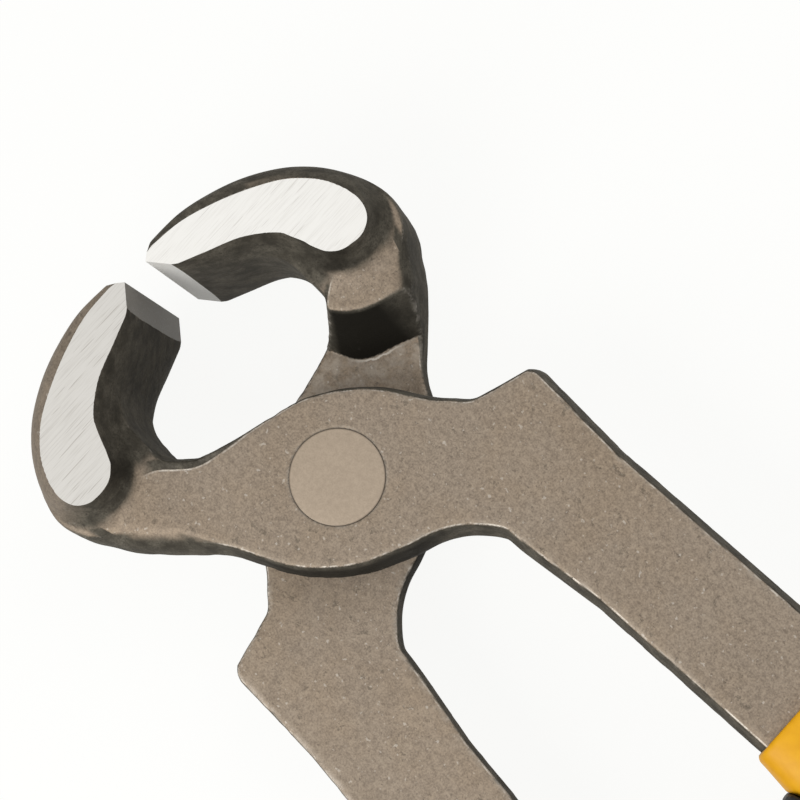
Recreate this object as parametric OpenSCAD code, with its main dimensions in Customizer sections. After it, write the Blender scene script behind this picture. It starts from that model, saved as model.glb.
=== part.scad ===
// End cutting nippers of the carpenter's kind: two forged levers, half lapped on one rivet.
// Lengths are in millimetres. The origin is on the pivot axis, at the flat back of the joint.
// X runs along the tool towards the jaws and Z along the rivet. Each piece is drawn about the
// plane where the laps meet and then lifted by one lap.

/* [Jaws] */
// Pivot axis to the cutting edges
jaw_reach = 30.9; // [28:0.1:34]
// Long axis to the widest point of a jaw's back
jaw_spread = 24.8; // [23.5:0.1:26.5]
// Width of the jaws over their ground cheeks
jaw_width = 24; // [21:0.5:28]
// Distance between the cutting edges at rest
rest_gap = 3.2; // [0.5:0.1:5]
// Distance between the cutting edges when the jaws are shut
shut_gap = 0.3; // [0.1:0.05:0.4]

/* [Joint] */
// Radius of the round joint, on its flat face
joint_r = 10; // [9:0.1:11]
// Thickness of each half lap
lap_t = 7; // [5.5:0.1:8]
// Play between the two half laps
lap_gap = 0.1; // [0.04:0.02:0.2]
// Diameter of the rivet's shank
shank_d = 9; // [7:0.1:9.6]
// Diameter of the rivet's countersunk heads
head_d = 10.65; // [10:0.05:12]
// Depth of a countersunk head
head_t = 1.6; // [1:0.1:2.2]
// Radial running clearance of the front lever on the rivet
run_gap = 0.05; // [0.02:0.01:0.08]

/* [Handle bars] */
// Long axis to the outer edge of a bar
bar_out = 22.9; // [22.5:0.1:25]
// Width of a bar where the grip starts
bar_w = 12.9; // [11.5:0.1:13.5]
// Width of a bar at its end
bar_end_w = 9; // [7:0.1:11]
// Pivot axis to the end of a bar
bar_reach = 156; // [130:1:165]
// Pivot axis to the shoulder's corner, along the tool
shoulder_back = 7.6; // [6.5:0.1:9]
// Draft of the forged walls, in degrees
draft = 10; // [5:0.5:12]

/* [Grips] */
// Pivot axis to the front end of a grip
grip_front = 52; // [48:1:60]
// Length of a grip
grip_len = 118; // [108:1:130]
// Greatest width of a grip
grip_w = 21.6; // [20:0.1:25]
// Greatest thickness of a grip
grip_t = 17.6; // [15:0.1:20]
// Depth of the soft pads below the grip's skin
pad_depth = 3; // [2:0.1:3.6]
// How far the soft pads stand out of the grip's skin
pad_proud = 0.5; // [0.2:0.1:0.8]
// Clearance between a moulded piece and what it is moulded round
mould_gap = 0.04; // [0.02:0.01:0.1]

/* [Hidden] */
$fn = 96;

// Overrun of every cut
over = 1;
// Half of the jaws' width and half of their opening
cheek_z = jaw_width / 2;
rest_turn = asin((rest_gap - shut_gap) / 2 / jaw_reach);
// Height of the lap plane's own side of each lever
lap_z = lap_gap / 2;
// Height of the forging's parting line above the lap plane, and how far the walls stand out there
parting_share = 0.36;
parting_z = lap_t * parting_share;
parting_out = (lap_t - parting_z) * tan(draft);
// Depth to which the cheek boss is sunk below the flat face
boss_sink = lap_t / 50;

// Ground cheek of a jaw, as shares of reach and spread, from the cutting edge round the back
cheek_shares = [[1.045, 0.069], [1.042, 0.226], [1.016, 0.371], [0.971, 0.524], [0.903, 0.681],
                [0.835, 0.774], [0.767, 0.831], [0.696, 0.869], [0.634, 0.879], [0.583, 0.859],
                [0.550, 0.806], [0.544, 0.746], [0.553, 0.681], [0.583, 0.629], [0.621, 0.601],
                [0.702, 0.560], [0.761, 0.516], [0.832, 0.391], [0.880, 0.230], [0.916, 0.105]];
// The same points on the jaw's outline in its middle plane
waist_shares = [[1.074, 0.105], [1.097, 0.250], [1.081, 0.415], [1.042, 0.577], [0.977, 0.726],
                [0.900, 0.839], [0.816, 0.919], [0.718, 0.980], [0.621, 1.000], [0.524, 0.960],
                [0.479, 0.879], [0.460, 0.766], [0.469, 0.653], [0.505, 0.556], [0.563, 0.484],
                [0.673, 0.468], [0.738, 0.435], [0.803, 0.355], [0.854, 0.222], [0.903, 0.121]];
// How much each of these points belongs to the hollow fillet at the jaw's root
root_shares = [0, 0, 0, 0, 0, 0, 0, 0.1, 0.5, 0.9, 1, 1, 1, 1, 1, 0.7, 0.3, 0, 0, 0];
// Heights of the jaw's sections, from the middle plane to the cheek
rise_shares = [0.2, 0.4, 0.56, 0.64, 0.72, 0.8, 0.88, 0.95, 1];
cutting_edge = [jaw_reach, shut_gap / 2];

// Flat face of the lever: hollow of the jaws, from the joint to the root of the jaw
hollow_shares = [[1.005, 0.060], [1.130, 0.500], [1.290, 0.910], [1.430, 1.080], [1.590, 1.240],
                 [1.725, 1.450]];
// Flat face of the lever: from the shoulder's neck round the joint
brow_shares = [[-0.320, -1.425], [-0.195, -1.320], [0.020, -1.185], [0.250, -1.055],
               [0.445, -0.905], [0.625, -0.720], [0.765, -0.530], [0.900, -0.295]];
// Flat face of the lever: outer edge from the jaw's root round the joint to the handle
cheekbone_shares = [[1.700, 2.260], [1.520, 2.230], [1.260, 2.130], [0.955, 1.890],
                    [0.670, 1.630], [0.400, 1.390], [0.060, 1.220], [-0.175, 1.110],
                    [-0.330, 1.020], [-0.490, 0.895], [-0.700, 0.685], [-0.850, 0.480],
                    [-0.970, 0.250], [-1.085, 0.005], [-1.180, -0.255], [-1.310, -0.470],
                    [-1.480, -0.650], [-1.730, -0.820]];
// Flat face of the lever: edge that rises from the shoulder's corner, counted from that corner
shoulder_shares = [[0.10, 0.28], [0.18, 0.52], [0.26, 0.71]];
corner_share = 0.06;
// Start of the straight bar behind the joint, and how far its inner edge still swells there
neck_share = 2;
neck_swell_share = 0.09;
// Places inside the jaw that close the lever's flat face
jaw_core_shares = [[0.705, 0.565], [0.780, 0.690], [0.705, 0.840]];
// Step at the jaw's root on the lap side: its foot on the lap plane and its brink
step_foot_shares = [[1.420, 0.690], [1.290, 0.800], [1.165, 0.875], [1.040, 0.945],
                    [0.940, 1.035], [0.850, 1.220], [0.790, 1.450], [0.680, 1.760],
                    [0.560, 2.200]];
step_brink_shares = [[1.640, 1.020], [1.500, 1.110], [1.390, 1.180], [1.300, 1.270],
                     [1.220, 1.390], [1.150, 1.560], [1.110, 1.720], [1.070, 1.960],
                     [0.960, 2.500]];

// Slope of a bar's centre line away from the long axis
bar_slope = 0.02;
// Grip sections along its length: outer half width, inner half width, half thickness
grip_stations = 22;
grip_out_shares = [[0, 0.73], [0.06, 0.79], [0.20, 0.90], [0.42, 1.00], [0.66, 0.97],
                   [0.86, 0.94], [0.95, 0.84], [0.985, 0.66], [1, 0.42]];
grip_in_shares = [[0, 0.73], [0.06, 0.80], [0.20, 0.92], [0.42, 0.99], [0.66, 0.96],
                  [0.86, 0.98], [0.95, 0.90], [0.985, 0.70], [1, 0.42]];
grip_thick_shares = [[0, 0.62], [0.06, 0.74], [0.20, 0.90], [0.42, 0.95], [0.66, 0.94],
                     [0.86, 1.00], [0.95, 0.92], [0.985, 0.70], [1, 0.44]];
// The finger pad's skin over the grip's inner side, with its guard at the front
guard_shares = [[0, 0], [0.035, 0.02], [0.075, 0.26], [0.10, 0.34], [0.13, 0.28], [0.19, 0.05],
                [0.24, 0], [0.6, 0], [1, 0]];
// Where the pads start and end along the grip, and how suddenly they sink in at their ends
finger_span_shares = [0.045, 0.93];
palm_span_shares = [0.16, 0.95];
pad_end_power = 0.3;
pad_steps = 12;
// Squareness of the grip's sections, and how the sections crowd towards the rear end
section_power = 2.7;
section_points = 20;
station_power = 1.35;
// Height of the grip's centre above the lap plane: its outer side is level with the cheek
grip_z = cheek_z - grip_t / 2 - lap_gap;

// A smooth open curve through given points, with so many steps in each span
function glide(p, steps) = [
    for (i = [0:len(p) - 2], k = [0:steps - 1])
        let (t = k / steps,
             a = p[max(i - 1, 0)], b = p[i], c = p[i + 1], d = p[min(i + 2, len(p) - 1)])
        b + (c - a) * t / 2 + (2 * a - 5 * b + 4 * c - d) * t * t / 2
          + (3 * b - a - 3 * c + d) * t * t * t / 2];
// The same curve with its last point
function glide_whole(p, steps) = concat(glide(p, steps), [p[len(p) - 1]]);
// Points given as shares of a size along x and a size along y
function sized(shares, x_size, y_size) = [for (s = shares) [s[0] * x_size, s[1] * y_size]];
// A value read off a table of [place, value] rows
function read_off(table, at) =
    let (row = max([for (i = [0:len(table) - 2]) table[i][0] <= at ? i : 0]),
         a = table[row], b = table[row + 1],
         t = (at - a[0]) / (b[0] - a[0]),
         e = t * t * (3 - 2 * t))
    a[1] + (b[1] - a[1]) * (t + e) / 2;
// An outline that runs anticlockwise, moved outwards so that each side stays parallel to itself
function grown(p, by) = [
    for (i = [0:len(p) - 1])
        let (a = p[i] - p[(i + len(p) - 1) % len(p)], b = p[(i + 1) % len(p)] - p[i],
             u = a / norm(a), v = b / norm(b), d = u + v)
        p[i] + by * [d[1], -d[0]] / (1 + u * v)];
function at_height(p, z) = [for (q = p) [q[0], q[1], z]];

// Triangles that fill a hollow-sided outline, as places in it, found by cutting off its ears
function turn(a, b, c) = (b[0] - a[0]) * (c[1] - b[1]) - (b[1] - a[1]) * (c[0] - b[0]);
function holds(a, b, c, q) = turn(a, b, q) >= 0 && turn(b, c, q) >= 0 && turn(c, a, q) >= 0;
function is_ear(p, left, k) =
    let (n = len(left), before = left[(k + n - 1) % n], tip = left[k], after = left[(k + 1) % n],
         a = p[before], b = p[tip], c = p[after])
    turn(a, b, c) > 0
        && len([for (i = left) if (i != before && i != tip && i != after && holds(a, b, c, p[i])) i]) == 0;
function ear_from(p, left, k) = k >= len(left) - 1 || is_ear(p, left, k) ? k : ear_from(p, left, k + 1);
function clipped(p, left) = len(left) == 3 ? [left] :
    let (n = len(left), k = ear_from(p, left, 0))
    concat([[left[(k + n - 1) % n], left[k], left[(k + 1) % n]]],
           clipped(p, [for (i = [0:n - 1]) if (i != k) left[i]]));
function filled(p) = clipped(p, [for (i = [0:len(p) - 1]) i]);

// A closed skin over rings of the same number of points, from the lowest ring up. Its ends are
// single faces, or are made of given triangles where an end is not convex.
module loft(rings, base_fill, lid_fill) {
    n = len(rings[0]);
    last = len(rings) - 1;
    whole = [[for (i = [0:n - 1]) i]];
    sides = [
        for (r = [0:last - 1], i = [0:n - 1])
            let (a = r * n + i, b = r * n + (i + 1) % n)
            each [[a, a + n, b + n], [a, b + n, b]]];
    lid = [for (t = is_undef(lid_fill) ? whole : lid_fill)
        [for (i = [len(t) - 1:-1:0]) last * n + t[i]]];
    polyhedron([for (r = rings) each r],
               concat(is_undef(base_fill) ? whole : base_fill, sides, lid));
}

// Centre line and half width of a handle bar, and one of its edges through the given places
function bar_mid(x) = bar_out - bar_w / 2 + bar_slope * (x - grip_front);
function bar_half(x) =
    (bar_w + (bar_end_w - bar_w) * max(0, x - grip_front) / (bar_reach - grip_front)) / 2;
function bar_edge(side, places) = [
    for (x = places) [-x, -bar_mid(x) - side * bar_half(x)]];

// Outline of the lever's flat face, anticlockwise from the corner of its shoulder
shoulder = [-shoulder_back, -bar_out];
corner_round = joint_r * corner_share;
neck_start = joint_r * neck_share;
function face_outline() = concat(
    [shoulder + [corner_round / 2, corner_round]],
    glide([for (s = shoulder_shares) shoulder + s * joint_r, for (s = brow_shares) s * joint_r,
           for (s = hollow_shares) s * joint_r], 2),
    sized(jaw_core_shares, jaw_reach, jaw_spread),
    glide([for (s = cheekbone_shares) s * joint_r], 2),
    [bar_edge(-1, [neck_start])[0] + [0, joint_r * neck_swell_share]],
    bar_edge(-1, [neck_start + joint_r, grip_front, bar_reach]),
    bar_edge(1, [bar_reach, grip_front, neck_start]),
    [shoulder - [corner_round * 1.5, 0], shoulder + [-corner_round / 2, corner_round / 4]]);

// Forging before the lap is cut: joint, shoulder and handle bar, drafted both ways from a
// parting line that lies part of the way up its own half of the joint
module blank() {
    face = face_outline();
    fill = filled(face);
    loft([at_height(face, -lap_t), at_height(grown(face, parting_out), parting_z),
          at_height(face, lap_t)], fill, fill);
}

// Room for the other lever: all below the lap plane that lies behind the step at the jaw's root.
// The step's wall runs from its foot on the lap plane out to its brink on the far face.
module lap_cut() {
    depth = lap_t + over;
    lean = depth / lap_t;
    foot = [for (s = step_foot_shares) s * joint_r];
    brink = [for (s = step_brink_shares) s * joint_r];
    far = [[foot[len(foot) - 1][0], 2 * bar_out], [-bar_reach - 2 * over, 2 * bar_out],
           [-bar_reach - 2 * over, -2 * bar_out], [foot[0][0], -2 * bar_out]];
    low = concat(glide_whole(foot + (brink - foot) * lean, 2), far);
    high = concat(glide_whole(foot, 2), far);
    loft([at_height(low, -depth), at_height(high, lap_z)], filled(low), filled(high));
}

// The jaw: a ground cheek on each side, a drafted back and a hollow fillet at the root
module jaw() {
    cheek = glide_whole(sized(cheek_shares, jaw_reach, jaw_spread), 2);
    waist = glide_whole(sized(waist_shares, jaw_reach, jaw_spread), 2);
    root = [for (p = glide_whole([for (s = root_shares) [s, 0]], 2)) p[0]];
    fillet_h = cheek_z - lap_t + boss_sink;
    rises = concat([for (i = [len(rise_shares) - 1:-1:0]) -rise_shares[i]], rise_shares);
    fill = filled(concat([cutting_edge], cheek));
    loft([for (s = rises)
        let (z = abs(s) * cheek_z,
             back = 1 - pow(abs(s), 4),
             u = min(1, (cheek_z - z) / fillet_h),
             fillet = 1 - sqrt(1 - u * u))
        at_height(concat([cutting_edge],
            [for (i = [0:len(cheek) - 1])
                cheek[i] + (waist[i] - cheek[i])
                    * (back + (fillet - back) * min(1, max(0, root[i])))]),
            s * cheek_z)], fill, fill);
}

// Hole for the rivet with a countersink in the outer face
module rivet_hole(gap) {
    translate([0, 0, -over]) cylinder(d = shank_d + 2 * gap, h = lap_t + 2 * over);
    translate([0, 0, lap_t - head_t])
        cylinder(d1 = shank_d + 2 * gap, d2 = head_d + 2 * gap, h = head_t);
    translate([0, 0, lap_t]) cylinder(d = head_d + 2 * gap, h = over);
}

// One forged lever as it lies with the jaws shut, its flat face upwards
module lever(gap) {
    difference() {
        union() {
            blank();
            jaw();
        }
        lap_cut();
        rivet_hole(gap);
    }
}

// Turns a piece from the shut pose to the rest pose, on the front or on the rear lever
module on_front() {
    translate([0, 0, lap_t]) rotate([0, 0, rest_turn]) children();
}
module on_rear() {
    translate([0, 0, lap_t]) rotate([180, 0, 0]) rotate([0, 0, rest_turn]) children();
}

// Place of a point along the grip, with x backwards from its front end and y outwards
module along_bar() {
    translate([-grip_front, -bar_mid(grip_front), 0]) rotate([0, 0, 180 + atan(bar_slope)])
        children();
}

// Places of the grip's sections, closer together at its rear end
function station(i) = let (t = i / (grip_stations - 1)) 1 - pow(1 - t, station_power);

// One section of the grip, with a guard that swells its inner side
function section(at, by, guard) =
    let (out = grip_w / 2 * read_off(grip_out_shares, at) + by,
         in = grip_w / 2 * (read_off(grip_in_shares, at) + guard) + by,
         high = grip_t / 2 * read_off(grip_thick_shares, at) + by,
         ahead = at * grip_len)
    [for (k = [0:section_points - 1])
        let (a = 360 * k / section_points,
             c = sign(cos(a)) * pow(abs(cos(a)), 2 / section_power),
             s = sign(sin(a)) * pow(abs(sin(a)), 2 / section_power))
        [ahead, (c > 0 ? out : in) * c, grip_z + high * s]];

// The grip's whole body, larger or smaller by a given amount
module grip_body(by, with_guard) {
    loft([for (i = [0:grip_stations - 1])
        section(station(i), by, with_guard ? read_off(guard_shares, station(i)) : 0)]);
}

// Plan of a pad: a band along one side of the grip, side = 1 on the outer and -1 on the inner
module pad_band(side, span, gap) {
    table = side > 0 ? grip_out_shares : grip_in_shares;
    rim = [for (i = [0:pad_steps])
        let (t = i / pad_steps,
             at = span[0] + (span[1] - span[0]) * t,
             fade = pad_depth * pow(sin(180 * t), pad_end_power))
        [at * grip_len, side * (grip_w / 2 * read_off(table, at) + pad_proud - fade - gap)]];
    far = side * grip_w;
    ends = [[span[1] * grip_len + gap, far], [span[0] * grip_len - gap, far]];
    translate([0, 0, grip_z - grip_t]) linear_extrude(2 * grip_t) polygon(concat(rim, ends));
}

module pad(side, span) {
    along_bar() intersection() {
        grip_body(pad_proud, side < 0);
        pad_band(side, span, 0);
    }
}

// Hard sleeve moulded round the bar, with a pocket for each pad
module sleeve() {
    difference() {
        along_bar() difference() {
            grip_body(0, false);
            pad_band(1, palm_span_shares, mould_gap);
            pad_band(-1, finger_span_shares, mould_gap);
        }
        bar_pocket();
    }
}

// The room that the bar takes in the sleeve
module bar_pocket() {
    ahead = grip_front - joint_r;
    outline = concat(bar_edge(-1, [ahead, grip_front, bar_reach]),
                     bar_edge(1, [bar_reach, grip_front, ahead]));
    base = lap_z - mould_gap;
    base_out = parting_out * (base + lap_t) / (parting_z + lap_t);
    loft([at_height(grown(outline, base_out + mould_gap), base),
          at_height(grown(outline, parting_out + mould_gap), parting_z),
          at_height(grown(outline, mould_gap), lap_t + mould_gap)]);
}

module front_lever() { color([0.58, 0.54, 0.48]) on_front() lever(run_gap); }
module rear_lever() { color([0.56, 0.52, 0.46]) on_rear() lever(0); }

// Rivet, countersunk at both ends and ground flush with the two flat faces
module pivot_rivet() {
    color([0.62, 0.58, 0.50]) rotate_extrude() polygon([
        [0, 0], [head_d / 2, 0], [shank_d / 2, head_t],
        [shank_d / 2, 2 * lap_t - head_t], [head_d / 2, 2 * lap_t], [0, 2 * lap_t]]);
}

module front_grip_sleeve() { color([0.98, 0.78, 0.22]) on_front() sleeve(); }
module rear_grip_sleeve() { color([0.98, 0.78, 0.22]) on_rear() sleeve(); }
module front_finger_pad() { color([0.10, 0.10, 0.11]) on_front() pad(-1, finger_span_shares); }
module rear_finger_pad() { color([0.10, 0.10, 0.11]) on_rear() pad(-1, finger_span_shares); }
module front_palm_pad() { color([0.10, 0.10, 0.11]) on_front() pad(1, palm_span_shares); }
module rear_palm_pad() { color([0.10, 0.10, 0.11]) on_rear() pad(1, palm_span_shares); }

front_lever();
rear_lever();
pivot_rivet();
front_grip_sleeve();
rear_grip_sleeve();
front_finger_pad();
rear_finger_pad();
front_palm_pad();
rear_palm_pad();
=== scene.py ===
"""End cutting nippers: the finished look of the tool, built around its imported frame."""

import logging
import math
from dataclasses import dataclass, field
from enum import Enum
from typing import Any, Dict, List, Sequence, Tuple

import bmesh
import bpy
import numpy as np
from mathutils import Matrix, Vector


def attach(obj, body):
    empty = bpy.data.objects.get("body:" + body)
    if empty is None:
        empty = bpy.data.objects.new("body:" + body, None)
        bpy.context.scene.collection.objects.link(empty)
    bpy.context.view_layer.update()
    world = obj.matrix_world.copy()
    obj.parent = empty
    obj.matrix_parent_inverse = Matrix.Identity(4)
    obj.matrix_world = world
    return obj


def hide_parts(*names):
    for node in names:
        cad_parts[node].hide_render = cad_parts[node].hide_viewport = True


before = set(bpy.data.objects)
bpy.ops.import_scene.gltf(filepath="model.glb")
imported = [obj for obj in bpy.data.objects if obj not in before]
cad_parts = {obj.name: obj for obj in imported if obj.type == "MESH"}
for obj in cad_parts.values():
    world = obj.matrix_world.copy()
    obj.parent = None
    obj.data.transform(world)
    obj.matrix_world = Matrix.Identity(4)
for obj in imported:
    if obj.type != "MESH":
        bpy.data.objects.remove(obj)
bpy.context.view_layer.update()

LOG = logging.getLogger("nippers")
MM = 0.001
OUTSIDE = 5.0  # value of a field far from its solid, in millimetres
Array = np.ndarray
Colour = Tuple[float, float, float, float]
Masks = Dict[str, Array]
Material = bpy.types.Material
Piece = bpy.types.Object
Span = Tuple[float, float]
Tree = bpy.types.NodeTree
Triple = Tuple[float, float, float]
Value = Any  # what a node's input takes: a plain value or another node's output socket

# Shares of the jaw's reach and spread: the ground cheek's outline, from the cutting edge round
# the back, and the same points in the jaw's middle plane
CHEEK_SHARES = np.array([
    [1.045, 0.069], [1.042, 0.226], [1.016, 0.371], [0.971, 0.524], [0.903, 0.681], [0.835, 0.774],
    [0.767, 0.831], [0.696, 0.869], [0.634, 0.879], [0.583, 0.859], [0.55, 0.806], [0.544, 0.746],
    [0.553, 0.681], [0.583, 0.629], [0.621, 0.601], [0.702, 0.56], [0.761, 0.516], [0.832, 0.391],
    [0.88, 0.23], [0.916, 0.105]])
WAIST_SHARES = np.array([
    [1.074, 0.105], [1.097, 0.25], [1.081, 0.415], [1.042, 0.577], [0.977, 0.726], [0.9, 0.839],
    [0.816, 0.919], [0.718, 0.98], [0.621, 1.0], [0.524, 0.96], [0.479, 0.879], [0.46, 0.766],
    [0.469, 0.653], [0.505, 0.556], [0.563, 0.484], [0.673, 0.468], [0.738, 0.435], [0.803, 0.355],
    [0.854, 0.222], [0.903, 0.121]])
# How far each of these points belongs to the hollow fillet at the jaw's root, and to the
# bevel along the cheek's outer edge
ROOT_SHARES = np.array([0, 0, 0, 0, 0, 0, 0, 0.1, 0.5, 0.9, 1, 1, 1, 1, 1, 0.7, 0.3, 0, 0, 0.0])
BEVEL_SHARES = np.array([0.9, 1, 1, 0.9, 0.6, 0.3, 0, 0, 0, 0, 0, 0, 0, 0, 0, 0, 0, 0, 0, 0.0])
# Shares of the joint's radius: outlines of the lever's flat face
HOLLOW_SHARES = np.array([
    [1.005, 0.06], [1.13, 0.5], [1.29, 0.91], [1.43, 1.08], [1.59, 1.24], [1.725, 1.45]])
BROW_SHARES = np.array([
    [-0.32, -1.425], [-0.195, -1.32], [0.02, -1.185], [0.25, -1.055], [0.445, -0.905],
    [0.625, -0.72], [0.765, -0.53], [0.9, -0.295]])
SHOULDER_SHARES = np.array([[0.1, 0.28], [0.18, 0.52], [0.26, 0.71]])
CHEEKBONE_SHARES = np.array([
    [1.7, 2.26], [1.52, 2.23], [1.26, 2.13], [0.955, 1.89], [0.67, 1.63], [0.4, 1.39],
    [0.06, 1.22], [-0.175, 1.11], [-0.33, 1.02], [-0.49, 0.895], [-0.7, 0.685], [-0.85, 0.48],
    [-0.97, 0.25], [-1.085, 0.005], [-1.18, -0.255], [-1.31, -0.47], [-1.48, -0.65],
    [-1.73, -0.82]])
JAW_CORE_SHARES = np.array([[0.705, 0.565], [0.78, 0.69], [0.705, 0.84]])
# Shares of the joint's radius: foot and brink of the step at the jaw's root
STEP_FOOT_SHARES = np.array([
    [1.42, 0.69], [1.29, 0.8], [1.165, 0.875], [1.04, 0.945], [0.94, 1.035], [0.85, 1.22],
    [0.79, 1.45], [0.68, 1.76], [0.56, 2.2]])
STEP_BRINK_SHARES = np.array([
    [1.64, 1.02], [1.5, 1.11], [1.39, 1.18], [1.3, 1.27], [1.22, 1.39], [1.15, 1.56], [1.11, 1.72],
    [1.07, 1.96], [0.96, 2.5]])
# Place along the grip and share of its size there: outer and inner half width, half thickness
GRIP_OUT_SHARES = np.array([
    [0, 0.73], [0.06, 0.79], [0.2, 0.9], [0.42, 1.0], [0.66, 0.97], [0.86, 0.94], [0.95, 0.84],
    [0.985, 0.66], [1, 0.42]])
GRIP_IN_SHARES = np.array([
    [0, 0.73], [0.06, 0.8], [0.2, 0.92], [0.42, 0.99], [0.66, 0.96], [0.86, 0.98], [0.95, 0.9],
    [0.985, 0.7], [1, 0.42]])
GRIP_THICK_SHARES = np.array([
    [0, 0.62], [0.06, 0.74], [0.2, 0.9], [0.42, 0.95], [0.66, 0.94], [0.86, 1.0], [0.95, 0.92],
    [0.985, 0.7], [1, 0.44]])
GUARD_SHARES = np.array([
    [0, 0], [0.035, 0.02], [0.075, 0.26], [0.1, 0.34], [0.13, 0.28], [0.19, 0.05], [0.24, 0],
    [0.6, 0], [1, 0]])


class Side(Enum):
    """Which of the two like levers a piece belongs to."""

    FRONT = "front"
    REAR = "rear"

    @property
    def body(self) -> str:
        """Name of the body that the piece moves with."""
        return f"{self.value}_half"


class Facing(Enum):
    """Which side of a grip a soft pad covers, as its sign across the grip."""

    FINGER = -1
    PALM = 1

    @property
    def node(self) -> str:
        """Name of the pad that covers this side."""
        return f"{self.name.lower()}_pad"


# ---- outlines and fields -------------------------------------------------------------------

def glide(points: Array, steps: int = 6) -> Array:
    """Smooth open curve through given points.

    Args:
        points: Control points, one row each.
        steps: Points made in each span.

    Returns:
        The curve's points, with the last control point.
    """
    rows: List[Array] = []
    last = len(points) - 1
    for i in range(last):
        a, b = points[max(i - 1, 0)], points[i]
        c, d = points[i + 1], points[min(i + 2, last)]
        for k in range(steps):
            t = k / steps
            rows.append(b + (c - a) * t / 2 + (2 * a - 5 * b + 4 * c - d) * t * t / 2
                        + (3 * b - a - 3 * c + d) * t ** 3 / 2)
    rows.append(points[last])
    return np.array(rows)


def read_off(table: Array, at: Array) -> Array:
    """Values read off a table, eased between its rows.

    Args:
        table: Rows of a place and its value.
        at: Places that are looked up.

    Returns:
        One value per place.
    """
    row = np.clip(np.searchsorted(table[:, 0], at, side="right") - 1, 0, len(table) - 2)
    a, b = table[row], table[row + 1]
    t = np.clip((at - a[..., 0]) / (b[..., 0] - a[..., 0]), 0, 1)
    ease = t * t * (3 - 2 * t)
    return a[..., 1] + (b[..., 1] - a[..., 1]) * (t + ease) / 2


def fade(values: Array, start: float, end: float, low: float = 0.0) -> Array:
    """Shares that go evenly from 0 at one value to 1 at another, cut off at `low` and 1."""
    return np.clip((values - start) / (end - start), low, 1)


def steepness(normals: Array, start: float, end: float) -> Array:
    """How steep a skin is, from 1 on a wall to 0 on a flat face.

    Args:
        normals: The skin's normals.
        start: Upright part of the normal where a wall begins to turn flat.
        end: Upright part of the normal where it is flat.

    Returns:
        One share per normal.
    """
    flat = fade(np.abs(normals[:, 2]), start, end)
    return 1 - flat * flat * (3 - 2 * flat)


def outline_distance(x: Array, y: Array, outline: Array) -> Array:
    """Signed distance to a closed outline, negative inside.

    Args:
        x: First coordinates of the sample points.
        y: Second coordinates of the sample points.
        outline: Corner points of the outline.

    Returns:
        The distances, in the shape of the samples.
    """
    nearest = np.full(x.shape, 1e9)
    inside = np.zeros(x.shape, bool)
    for (ax, ay), (bx, by) in zip(outline, np.roll(outline, -1, axis=0)):
        ex, ey = bx - ax, by - ay
        px, py = x - ax, y - ay
        t = np.clip((px * ex + py * ey) / (ex * ex + ey * ey + 1e-12), 0, 1)
        dx, dy = px - t * ex, py - t * ey
        nearest = np.minimum(nearest, dx * dx + dy * dy)
        if ay != by:
            crosses = (ay <= y) != (by <= y)
            inside ^= crosses & (px < ex * py / ey)
    return np.where(inside, -1.0, 1.0) * np.sqrt(nearest)


def round_meet(a: Array, b: Array, radius: float) -> Array:
    """Meeting of two solids' fields, with its outer edge rounded."""
    u, v = a + radius, b + radius
    return np.minimum(np.maximum(u, v), 0) + np.hypot(np.maximum(u, 0), np.maximum(v, 0)) - radius


def soft_join(a: Array, b: Array, radius: float) -> Array:
    """Union of two solids' fields, with its inner corner filled."""
    h = np.maximum(radius - np.abs(a - b), 0) / radius
    return np.minimum(a, b) - h * h * radius / 4


def wave_noise(points: Array, wavelength: float, seed: int, waves: int = 28) -> Array:
    """Smooth noise between about -1 and 1, from waves of random direction.

    Args:
        points: Sample points, one row each.
        wavelength: Mean wavelength, in the points' units.
        seed: Seed of the random directions.
        waves: Number of waves that are added.

    Returns:
        One value per point.
    """
    draw = np.random.default_rng(seed)
    way = draw.normal(size=(waves, 3))
    way /= np.linalg.norm(way, axis=1, keepdims=True)
    reach = 2 * math.pi / (wavelength * draw.uniform(0.6, 1.7, waves))
    phase = draw.uniform(0, 2 * math.pi, waves)
    total = np.zeros(len(points))
    for k in range(waves):
        total += np.sin(points @ (way[k] * reach[k]) + phase[k])
    return total / math.sqrt(waves)


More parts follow.
